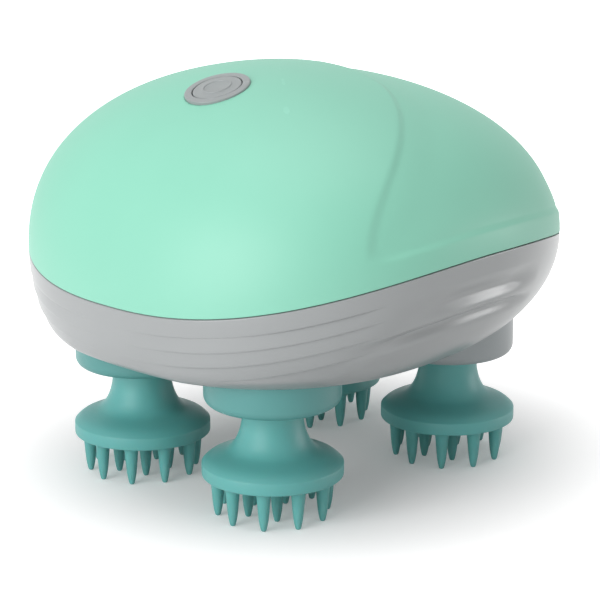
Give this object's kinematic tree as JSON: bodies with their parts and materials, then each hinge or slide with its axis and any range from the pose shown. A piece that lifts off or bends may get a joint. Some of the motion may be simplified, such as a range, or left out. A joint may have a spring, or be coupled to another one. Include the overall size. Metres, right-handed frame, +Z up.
{
  "type": "electric scalp massager",
  "caption": "Hand-held electric scalp massager: a domed body with a power button on top and geared spinning heads with soft silicone fingers below.",
  "frame": {"origin": "middle of the overall box, on the plane that the fingertips stand on", "axes": "+Z up through the dome, -X towards the front where the power button is, +X towards the tail, -Y to the left as seen from behind the tail"},
  "size_m": [0.117, 0.1128, 0.0903],
  "materials": {
    "mint_shell": "satin",
    "grey_shell": "gloss",
    "grey_button": "satin",
    "teal_silicone": "soft satin",
    "teal_collar": "satin",
    "grey_collar": "satin",
    "dark_rubber": "matte",
    "dark_plastic": "matte",
    "ivory_plastic": "satin",
    "gearbox_plastic": "matte",
    "board": "gloss",
    "cell": "satin",
    "steel": "satin",
    "brass": "satin"
  },
  "bodies": {
    "housing": {"upper_shell": "mint_shell", "lower_shell": "grey_shell", "shell_gasket": "dark_rubber", "shell_screws": "steel", "button_bezel": "grey_button", "button_gasket": "dark_rubber", "board_frame": "ivory_plastic", "control_board": "board", "push_switch": "dark_plastic", "board_screws": "steel", "battery": "cell", "battery_cradle": "dark_plastic", "motor": "steel", "motor_bracket": "steel", "motor_screws": "steel", "worm_bush": "brass", "gearbox_base": "gearbox_plastic", "gearbox_cover": "gearbox_plastic", "gearbox_screws": "steel", "charge_contacts": "brass", "wheel_axles": "steel", "axle_clips": "steel", "collar_screws": "steel", "front_left_collar": "teal_collar", "front_right_collar": "teal_collar", "rear_left_collar": "grey_collar", "rear_right_collar": "grey_collar", "front_left_seal": "dark_rubber", "front_right_seal": "dark_rubber", "rear_left_seal": "dark_rubber", "rear_right_seal": "dark_rubber", "front_left_bush": "brass", "front_right_bush": "brass", "rear_left_bush": "brass", "rear_right_bush": "brass"},
    "power_button": {"power_button": "grey_button"},
    "rotor": {"motor_shaft": "steel", "worm": "ivory_plastic"},
    "left_wheel": {"left_worm_wheel": "ivory_plastic"},
    "right_wheel": {"right_worm_wheel": "ivory_plastic"},
    "front_left": {"front_left_shaft": "steel", "front_left_gear": "ivory_plastic", "front_left_core": "ivory_plastic", "front_left_core_screw": "steel", "front_left_head": "teal_silicone"},
    "front_right": {"front_right_shaft": "steel", "front_right_gear": "ivory_plastic", "front_right_core": "ivory_plastic", "front_right_core_screw": "steel", "front_right_head": "teal_silicone"},
    "rear_left": {"rear_left_shaft": "steel", "rear_left_gear": "ivory_plastic", "rear_left_core": "ivory_plastic", "rear_left_core_screw": "steel", "rear_left_head": "teal_silicone"},
    "rear_right": {"rear_right_shaft": "steel", "rear_right_gear": "ivory_plastic", "rear_right_core": "ivory_plastic", "rear_right_core_screw": "steel", "rear_right_head": "teal_silicone"}
  },
  "joints": [
    {"name": "button_press", "type": "slide", "parent": "housing", "child": "power_button", "axis": [0.3046, 0, -0.9525], "range_m": [0, 0.0005], "stiffness_N_per_m": 600},
    {"name": "front_left_spin", "type": "hinge", "parent": "housing", "child": "front_left", "pos_m": [-0.0313, -0.0206, 0.03], "axis": [0, 0, 1], "continuous": true},
    {"name": "front_right_spin", "type": "hinge", "parent": "housing", "child": "front_right", "pos_m": [-0.0313, 0.0206, 0.03], "axis": [0, 0, 1], "continuous": true},
    {"name": "rear_left_spin", "type": "hinge", "parent": "housing", "child": "rear_left", "pos_m": [0.0241, -0.0206, 0.03], "axis": [0, 0, 1], "continuous": true},
    {"name": "rear_right_spin", "type": "hinge", "parent": "housing", "child": "rear_right", "pos_m": [0.0241, 0.0206, 0.03], "axis": [0, 0, 1], "continuous": true},
    {"name": "left_wheel_spin", "type": "hinge", "parent": "housing", "child": "left_wheel", "pos_m": [-0.0036, -0.0206, 0.05], "axis": [0, 0, 1], "continuous": true},
    {"name": "right_wheel_spin", "type": "hinge", "parent": "housing", "child": "right_wheel", "pos_m": [-0.0036, 0.0206, 0.05], "axis": [0, 0, 1], "continuous": true},
    {"name": "motor_spin", "type": "hinge", "parent": "housing", "child": "rotor", "pos_m": [-0.0036, 0, 0.0564], "axis": [1, 0, 0], "continuous": true}
  ],
  "couplings": [
    {"joint": "left_wheel_spin", "follows": "motor_spin", "ratio": 0.033333},
    {"joint": "right_wheel_spin", "follows": "motor_spin", "ratio": -0.033333},
    {"joint": "front_left_spin", "follows": "motor_spin", "ratio": -0.033333},
    {"joint": "rear_left_spin", "follows": "motor_spin", "ratio": -0.033333},
    {"joint": "front_right_spin", "follows": "motor_spin", "ratio": 0.033333},
    {"joint": "rear_right_spin", "follows": "motor_spin", "ratio": 0.033333}
  ]
}
